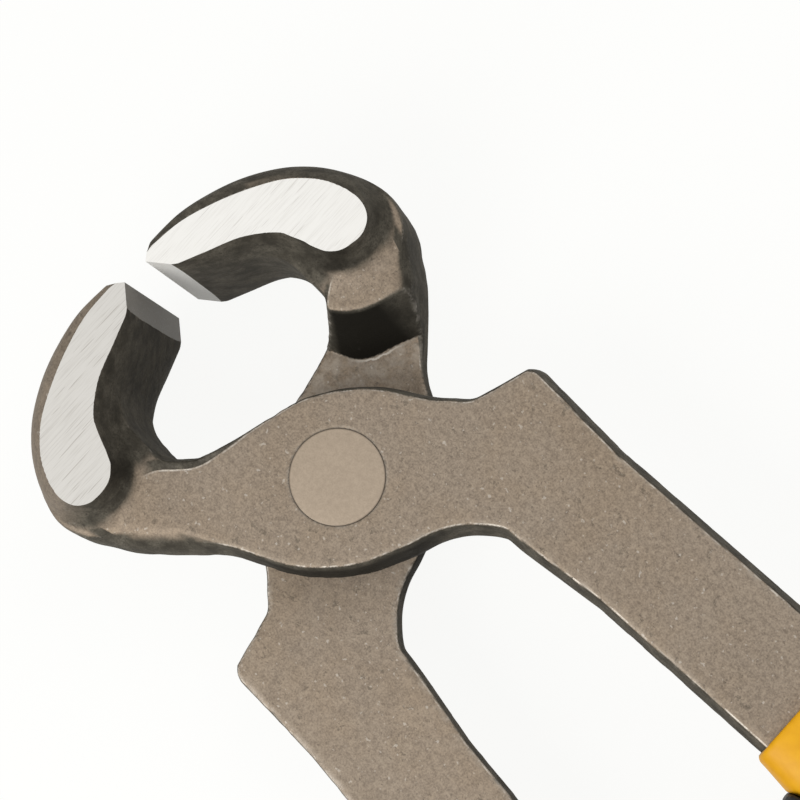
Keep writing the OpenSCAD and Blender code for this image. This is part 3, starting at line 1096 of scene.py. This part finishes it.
    @staticmethod
    def corners(piece: Piece, points: Array, normals: Array) -> Array:
        """How much each point stands out on an outer edge.

        Args:
            piece: The lever.
            points: Its points.
            normals: Their normals.

        Returns:
            Shares from 0 to 1.
        """
        pairs = np.empty(len(piece.data.edges) * 2, np.int64)
        piece.data.edges.foreach_get("vertices", pairs)
        pairs = pairs.reshape(-1, 2)
        total = np.zeros_like(points)
        count = np.zeros(len(points))
        for a, b in ((0, 1), (1, 0)):
            np.add.at(total, pairs[:, a], points[pairs[:, b]])
            np.add.at(count, pairs[:, a], 1)
        middle = total / np.maximum(count, 1)[:, None]
        return fade(np.einsum("ij,ij->i", points - middle, normals), 0.012, 0.062)

    def wear(self, points: Array, normals: Array, wall: Array, corners: Array) -> Masks:
        """Masks of the forging's walls, of its flat face's rim, and of bared edges with painted
        light on the lap faces.

        The ends of each fade are places in millimetres.

        Args:
            points: The lever's points in its own place.
            normals: Their normals.
            wall: How steep the skin is at each point, from 0 to 1.
            corners: How much each point stands out on an outer edge.

        Returns:
            The masks by name: wall, distance from the rim, where that holds, and edges with
                painted light.
        """
        x, y, z = points.T
        height, over_lap = np.abs(z), np.abs(z - self.lap_gap / 2)
        rim = outline_distance(x, y, self.face_outline()) - self.stand_out(z)
        root = self.root_share(x, y)
        outer = (normals[:, 0] * (x - 19) + normals[:, 1] * (y - 4) > 0) \
            * fade(z, 4, 7) * fade(x, 17, 20)
        hollow = fade(y, 3, 9) * fade(x - y, -1, 1) * (z > 3.5)
        at_face = (np.minimum(np.abs(height - self.lap), over_lap) < 0.5) \
            & (height < self.lap + 0.1) & (rim > -0.9) & (rim < 0.25) & (wall < 0.97)
        # Rubbing by the other lever, and painted light that lifts the shaded lap face by the joint
        rubbed_and_lit = 0.4 * (over_lap < 0.3) * (wall < 0.5) * fade(x, 3, 6)
        return {"wall": np.where(at_face & (root == 0), 0, wall * (1 - 0.65 * outer)),
                "rim": np.clip(rim + 0.75 * hollow + 0.5 * root, -2, 2),
                "brim": fade(rim, 0.6, 0.25) * fade(height, self.lap + 0.5, self.lap + 0.1),
                "level": fade(wall, 0.97, 0.67) * (1 - root),
                # Edges: wear on outer corners, and the painted light of the lap faces
                "edge": np.maximum(corners * 0.8, rubbed_and_lit)}

    def dirt(self, points: Array, normals: Array, wall: Array) -> Masks:
        """Masks of the painted shade round the step, the jaw's root and the joint, and of the
        bright burr that the forging keeps round its step.

        The ends of each fade are places in millimetres.

        Args:
            points: The lever's points in its own place.
            normals: Their normals.
            wall: How steep the skin is at each point, from 0 to 1.

        Returns:
            The masks by name: painted shade, room for the burr, and distance from the step's foot.
        """
        x, y, z = points.T
        height = np.abs(z)
        foot = outline_distance(x, y, self.lap_room(0))
        steep = fade(wall, 0.25, 0.85)
        # Painted shade on the step's wall
        scale = math.prod([
            steep, fade(z, 1.2, 0.2), fade(z, -7, -6.4), fade(x, 17.5, 15), fade(x, 4.6, 5.6),
            fade(y, 7.4, 9), fade(y, 19.5, 15.5, 0.3), fade(normals[:, 0], 0.5, 0),
            fade((y - x + 3.9) / math.sqrt(2), 0.1, 1, 0.3)])
        # Painted shade on the root fillet under the cheek
        root = 0.75 * steep * fade(height, 7.3, 8.2) * fade(x, 20.5, 17.5) \
            * fade(y, 18.5, 15.5, 0.15)
        # Painted shade on the lap face at the step's foot
        near = 0.12 * fade(np.abs(foot), 2.5, 0) ** 2 * (height < 0.4)
        # Painted contact shade on the joint's walls beside the other lever
        joint_shade = 0.85 * steep * fade(np.hypot(x, y), 14.5, 11.5) * fade(y, -9, -5) \
            * fade(z, 6.6, 5.4)
        burr = (np.abs(z - self.lap_gap / 2) < 0.3) * fade(y, 9.3, 10.8) * fade(y, 15.5, 12.5)
        return {"soot": np.clip(np.maximum.reduce([scale, root, near, joint_shade]), 0, 1),
                "burr": burr, "foot": np.clip(foot, -3, 3)}


@dataclass
class Rivet:
    """Countersunk rivet, ground flush with both flat faces. Sizes are in millimetres."""

    lever: Lever
    chamfer: float = 0.10
    steps: int = 192

    def rings(self) -> List[Tuple[float, float]]:
        """Half profile of the rivet.

        Returns:
            Radius and height of each ring, from the back face to the front one.
        """
        lv, cut = self.lever, self.chamfer
        head = lv.head_radius
        side = [(head * 0.5, 0), (head - 2 * cut, 0), (head - cut * 0.6, cut * 0.2),
                (head - cut * 0.1, cut * 0.8), (head, cut * 1.6),
                (lv.shank_radius, lv.head_depth + cut), (lv.shank_radius, lv.lap)]
        return side + [(r, 2 * lv.lap - z) for r, z in side[-2::-1]]

    def build(self, finishes: Finishes) -> Piece:
        """The rivet at its place.

        Args:
            finishes: The tool's finishes.

        Returns:
            The rivet.
        """
        rings, steps = self.rings(), self.steps
        turns = [2 * math.pi * k / steps for k in range(steps)]
        co = np.array([(0, 0, 0), *((radius * math.cos(a), radius * math.sin(a), height)
                                    for radius, height in rings for a in turns),
                       (0, 0, 2 * self.lever.lap)])
        first = [1 + r * steps for r in range(len(rings))]
        faces: List[List[int]] = []
        for k in range(steps):
            n = (k + 1) % steps
            faces.append([0, 1 + n, 1 + k])
            faces += [[a + k, a + n, b + n, b + k] for a, b in zip(first, first[1:])]
            faces.append([first[-1] + k, first[-1] + n, len(co) - 1])
        piece = mesh_object("flush_rivet", co, faces)
        away = np.hypot(co[:, 0], co[:, 1]) - self.lever.head_radius
        store(piece, "rim", fade(away, -0.10, -0.02))
        piece.data.materials.append(finishes.rivet)
        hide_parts("pivot_rivet")
        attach(piece, Side.REAR.body)
        return piece


@dataclass
class PadRibs:
    """Cross grooves that leave ribs on a soft pad, made by Geometry Nodes. In millimetres."""

    pitch: float = 5.2
    groove: float = 1.9
    depth: float = 0.6
    fade: float = 4.0

    @staticmethod
    def tree() -> Tuple[Tree, Dict[str, str]]:
        """Tree that sinks a groove at every pitch along the pad.

        Returns:
            The tree, and the identifier of each named input.
        """
        numbers = dict.fromkeys(("First", "Last", "Pitch", "Groove", "Depth", "Fade"), "Float")
        g, given, keys = group(
            "GeometryNodeTree", "pad_ribs",
            {"Geometry": "Geometry", "Start": "Vector", "Along": "Vector", **numbers,
             "Finish": "Material"}, {"Geometry": "Geometry"})
        place = g.add("GeometryNodeInputPosition").outputs[0]
        along = g.vector("DOT_PRODUCT", g.vector("SUBTRACT", place, given["Start"]),
                         given["Along"])
        past = g.math("SUBTRACT", along, given["First"])
        left = g.math("SUBTRACT", given["Last"], along)
        share = g.math("FRACT", g.math("DIVIDE", past, given["Pitch"]))
        from_middle = g.times(g.math("ABSOLUTE", g.math("SUBTRACT", share, 0.5)), given["Pitch"])
        pulse = g.ramp(from_middle, 0.0, g.times(given["Groove"], 0.5), 1.0, 0.0)
        nearer = g.math("MINIMUM", *(g.math("DIVIDE", end, given["Fade"]) for end in (past, left)))
        reach = g.add("ShaderNodeClamp", {0: nearer}).outputs[0]
        outer = g.add("GeometryNodeInputNamedAttribute", {"Name": "outer"},
                      data_type="FLOAT").outputs[0]
        sink = g.times(pulse, reach, g.times(outer, given["Depth"]), -1.0)
        inward = g.vector("SCALE", g.add("GeometryNodeInputNormal").outputs[0], sink)
        moved = g.add("GeometryNodeSetPosition", {"Geometry": given["Geometry"],
                                                  "Offset": inward}).outputs[0]
        real = g.add("GeometryNodeRealizeInstances", {0: moved}).outputs[0]
        done = g.add("GeometryNodeSetMaterial", {"Geometry": real,
                                                 "Material": given["Finish"]}).outputs[0]
        g.add("NodeGroupOutput", {0: done})
        return g.tree, keys

    def cut(self, pad: Piece, start: Array, along: Array, span: Span,
            finish: Material) -> None:
        """Cuts the grooves into a pad and leaves it a plain mesh.

        Args:
            pad: The pad, which keeps its outer side in the attribute "outer".
            start: Where the grip begins, in millimetres.
            along: Unit vector along the grip.
            span: First and last place of the ribs along the grip.
            finish: The pad's material.
        """
        tree, keys = self.tree()
        ribs = pad.modifiers.new("ribs", "NODES")
        ribs.node_group = tree
        values = {"Start": tuple(start * MM), "Along": tuple(along), "First": span[0] * MM,
                  "Last": span[1] * MM, "Pitch": self.pitch * MM, "Groove": self.groove * MM,
                  "Depth": self.depth * MM, "Fade": self.fade * MM, "Finish": finish}
        for key, value in values.items():
            ribs[keys[key]] = value
        ready = pad.evaluated_get(bpy.context.evaluated_depsgraph_get())
        mesh = bpy.data.meshes.new_from_object(ready)
        pad.modifiers.clear()
        pad.data = mesh
        mesh.polygons.foreach_set("use_smooth", [True] * len(mesh.polygons))


@dataclass
class Grip:
    """Two-part grip: a hard sleeve moulded on the bar, with two soft pads. In millimetres.

    Its own places are u along the grip, v across it and w above the lap plane.
    """

    lever: Lever
    length: float = 118.0
    width: float = 21.6
    thick: float = 17.6
    pad_depth: float = 3.0
    pad_proud: float = 0.44
    mould_gap: float = 0.12
    bar_gap: float = 0.05
    squareness: float = 2.7
    front_square: float = 1.8
    front_reach: float = 9.0
    front_back: float = 0.5
    front_round: float = 0.5
    butt_round: float = 1.2
    groove_round: float = 0.25
    pad_round: float = 0.45
    end_power: float = 0.3
    margin: float = 1.4
    finger_span: Span = (0.045, 0.93)
    palm_span: Span = (0.16, 0.95)
    finger_ribs: Span = (33.0, 101.0)
    palm_ribs: Span = (36.0, 99.0)
    ribs: PadRibs = field(default_factory=PadRibs)

    @property
    def centre(self) -> float:
        """Height of the grip's centre above the lap plane."""
        return self.lever.cheek_height - self.thick / 2 - self.lever.lap_gap

    def lattice(self) -> Lattice:
        """Sample lines round the grip: along it, across it and through it.

        Returns:
            The lattice.
        """
        half, high = self.width / 2, self.thick / 2 + self.margin
        return Lattice(Lattice.line((-1.2, 6, 0.3), (6, 103, 0.55), (103, self.length + 1.2, 0.4)),
                       Lattice.line((-half * 1.36, half + self.margin, 0.42)),
                       Lattice.line((self.centre - high, self.centre + high, 0.42)))

    def body_field(self, samples: Sequence[Array], guard: bool) -> Array:
        """Field of the grip's whole body.

        Args:
            samples: The lattice's coordinates.
            guard: Whether the body swells to the finger guard.

        Returns:
            The field there.
        """
        u, v, w = samples
        at = np.clip(u / self.length, 0, 1)
        swell = read_off(GUARD_SHARES, at) if guard else 0.0
        half = self.width / 2 * np.where(v > 0, read_off(GRIP_OUT_SHARES, at),
                                         read_off(GRIP_IN_SHARES, at) + swell)
        high = self.thick / 2 * read_off(GRIP_THICK_SHARES, at)
        w = w - self.centre
        power = self.squareness + self.front_square * np.clip(1 - u / self.front_reach, 0, 1)
        scale = ((np.abs(v) / half) ** power + (np.abs(w) / high) ** power) ** (1 / power)
        return np.hypot(v, w) * (1 - 1 / np.maximum(scale, 1e-6))

    def capped(self, values: Array, u: Array) -> Array:
        """Field with the grip's two rounded ends."""
        values = round_meet(values, self.front_back - u, self.front_round)
        return round_meet(values, u - self.length, self.butt_round)

    def band_field(self, u: Array, v: Array, facing: Facing, gap: float = 0.0) -> Array:
        """Field of the side band that a pad fills.

        Args:
            u: Places along the grip.
            v: Places across it.
            facing: Which pad fills the band.
            gap: How much wider the band is than the pad.

        Returns:
            The field there.
        """
        fingers = facing is Facing.FINGER
        first, last = self.finger_span if fingers else self.palm_span
        table = GRIP_IN_SHARES if fingers else GRIP_OUT_SHARES
        t = (u / self.length - first) / (last - first)
        fall = self.pad_depth * np.sin(np.pi * np.clip(t, 0, 1)) ** self.end_power
        rim = self.width / 2 * read_off(table, np.clip(u / self.length, 0, 1)) \
            + self.pad_proud - fall - gap
        ends = np.maximum(-t, t - 1) * (last - first) * self.length - gap
        return np.maximum(rim - facing.value * v, ends)

    def to_bar(self, points: Array) -> Array:
        """Places along the grip taken to the lever's own place.

        Args:
            points: Points in the grip's own place.

        Returns:
            The same points in the lever's.
        """
        turn = math.pi + math.atan(self.lever.bar_slope)
        c, s = math.cos(turn), math.sin(turn)
        start = (-self.lever.grip_front, -self.lever.bar_middle(self.lever.grip_front))
        u, v, w = points.T
        return np.stack([start[0] + u * c - v * s, start[1] + u * s + v * c, w], axis=1)

    def at_rest(self, side: Side, points: Array) -> Array:
        """Places along the grip taken to their place at rest."""
        return self.lever.at_rest(side, self.to_bar(points))

    def bar_field(self, samples: Sequence[Array]) -> Array:
        """Field of the pocket that the handle bar fills.

        Args:
            samples: The lattice's coordinates.

        Returns:
            The field there.
        """
        u, v, w = samples
        lv = self.lever
        x, y, _ = self.to_bar(np.stack([u[:, :, 0].ravel(), v[:, :, 0].ravel(),
                                        np.zeros(u[:, :, 0].size)], axis=1)).T
        outline = np.concatenate([lv.bar_edge(-1, [30, lv.grip_front, lv.bar_reach]),
                                  lv.bar_edge(1, [lv.bar_reach, lv.grip_front, 30])])
        plan = outline_distance(x, y, outline).reshape(u.shape[:2])[:, :, None]
        return np.maximum(plan - lv.stand_out(w), np.maximum(w - lv.lap, -w)) - self.bar_gap

    def build(self, side: Side, finishes: Finishes) -> List[Piece]:
        """Sleeve and pads of one grip, at their place at rest.

        Args:
            side: Which lever carries the grip.
            finishes: The tool's finishes.

        Returns:
            The finished pieces.
        """
        grid = self.lattice()
        samples = grid.samples()
        u, v, _ = samples
        plain, guarded = (self.body_field(samples, guard) for guard in (False, True))
        sleeve = self.capped(plain, u)
        for facing in Facing:
            sleeve = round_meet(sleeve, -self.band_field(u, v, facing, self.mould_gap),
                                self.groove_round)
        sleeve = np.maximum(sleeve, -self.bar_field(samples))
        jobs = [("grip_sleeve", "moulded_sleeve", sleeve, finishes.yellow, "grip_yellow", None)]
        for facing, body in ((Facing.FINGER, guarded), (Facing.PALM, plain)):
            pad = round_meet(self.capped(body - self.pad_proud, u),
                             self.band_field(u, v, facing), self.pad_round)
            jobs.append((facing.node, f"soft_{facing.node}", pad, finishes.black, "grip_black",
                         facing))
        pieces = []
        for node, name, values, material, slot, facing in jobs:
            points, faces = grid.skin(values)
            piece = mesh_object(f"{side.value}_{name}", self.at_rest(side, points), faces)
            if facing:
                deep = -self.band_field(points[:, 0], points[:, 1], facing)
                store(piece, "outer", fade(deep, 1.0, 1.9))
                start, end = self.at_rest(side, np.array([[0.0, 0, 0], [1.0, 0, 0]]))
                span = self.finger_ribs if facing is Facing.FINGER else self.palm_ribs
                self.ribs.cut(piece, start, end - start, span, material)
            piece.data.materials.clear()
            piece.data.materials.append(material)
            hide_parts(f"{side.value}_{node}")
            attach(piece, side.body)
            pieces.append(piece)
        return pieces


# ---- the studio ----------------------------------------------------------------------------

@dataclass(frozen=True)
class Lamp:
    """Soft square lamp that points at the joint: millimetres and watts."""

    name: str
    place: Triple
    size: float
    power: float

    def build(self) -> None:
        """Hangs the lamp."""
        data = bpy.data.lights.new(self.name, "AREA")
        data.shape, data.size, data.energy = "SQUARE", self.size * MM, self.power
        lamp = linked(self.name, data)
        lamp.location = Vector(self.place) * MM
        lamp.rotation_euler = (-lamp.location).to_track_quat("-Z", "Y").to_euler()


@dataclass
class Studio:
    """Pale floor, soft light and the camera. Places are in millimetres."""

    floor_height: float = -5.02
    floor_half: float = 3000.0
    paper: Colour = (0.9, 0.9, 0.89, 1)
    shaded_paper: Colour = (0.42, 0.42, 0.42, 1)
    glow: Colour = (1.0, 1.0, 0.985, 1)
    glow_share: float = 0.92
    sky_strength: float = 0.45
    lamps: Tuple[Lamp, ...] = (Lamp("key", (-40, 250, 270), 240, 0.93),
                               Lamp("fill", (60, -380, 430), 340, 0.85))
    camera_place: Triple = (-48.481, -15.433, 259.008)
    camera_way: Triple = (0.1985, 0.0190, -0.9799)
    camera_up: Triple = (0.7193, -0.6947, 0.0)
    focal_pixels: float = 2315.0
    frame_pixels: float = 800.0

    def camera(self) -> None:
        """Camera at the photograph's viewing angle."""
        data = bpy.data.cameras.new("camera")
        data.sensor_width = 36.0
        data.lens = self.focal_pixels / self.frame_pixels * data.sensor_width
        data.clip_start, data.clip_end = 0.01, 20.0
        camera = linked("camera", data)
        way = Vector(self.camera_way).normalized()
        right = way.cross(Vector(self.camera_up)).normalized()
        up = right.cross(way)
        turn = Matrix((right, up, -way)).transposed().to_4x4()
        camera.matrix_world = Matrix.Translation(Vector(self.camera_place) * MM) @ turn
        bpy.context.scene.camera = camera

    def floor(self) -> None:
        """Wide pale floor that stays white to the camera and keeps the shadow."""
        half = self.floor_half
        places = [(x, y, self.floor_height) for x, y in ((-half, -half), (half, -half),
                                                         (half, half), (-half, half))]
        floor = mesh_object("studio_floor", places, [[0, 1, 2, 3]], False)
        material, g = new_material("pale_floor")
        seen = g.add("ShaderNodeLightPath").outputs
        mirror = g.math("MAXIMUM", seen["Is Glossy Ray"], seen["Is Transmission Ray"])
        view = g.math("MAXIMUM", seen["Is Camera Ray"], mirror)
        paper = g.add("ShaderNodeBsdfDiffuse",
                      {"Color": g.mix(view, self.shaded_paper, self.paper)})
        glow = g.add("ShaderNodeEmission", {"Color": self.glow, "Strength": 1.0})
        blend = g.add("ShaderNodeMixShader", {0: g.times(view, self.glow_share),
                                              1: paper.outputs[0], 2: glow.outputs[0]})
        g.add("ShaderNodeOutputMaterial", {"Surface": blend.outputs[0]})
        floor.data.materials.append(material)

    def build(self) -> None:
        """Sets up floor, lamps, world, camera and display."""
        self.camera()
        self.floor()
        for lamp in self.lamps:
            lamp.build()
        world = bpy.data.worlds.new("studio")
        bpy.context.scene.world = world
        world.use_nodes = True
        g = Graph(world.node_tree)
        back = g.add("ShaderNodeBackground", {"Color": (1, 1, 1, 1),
                                              "Strength": self.sky_strength})
        g.add("ShaderNodeOutputWorld", {"Surface": back.outputs[0]})
        bpy.context.scene.view_settings.view_transform = "Standard"


def main() -> None:
    """Builds every piece in order and reports it."""
    logging.basicConfig(level=logging.INFO, format="%(name)s: %(message)s")
    Studio().build()
    finishes = Finishes.build()
    lever = Lever()
    pieces = [lever.build(side, finishes, 11 + 7 * seed) for seed, side in enumerate(Side)]
    pieces.append(Rivet(lever).build(finishes))
    for side in Side:
        pieces += Grip(lever).build(side, finishes)
    for piece in pieces:
        LOG.info("%s: %d faces", piece.name, len(piece.data.polygons))


if __name__ == "__main__":
    main()
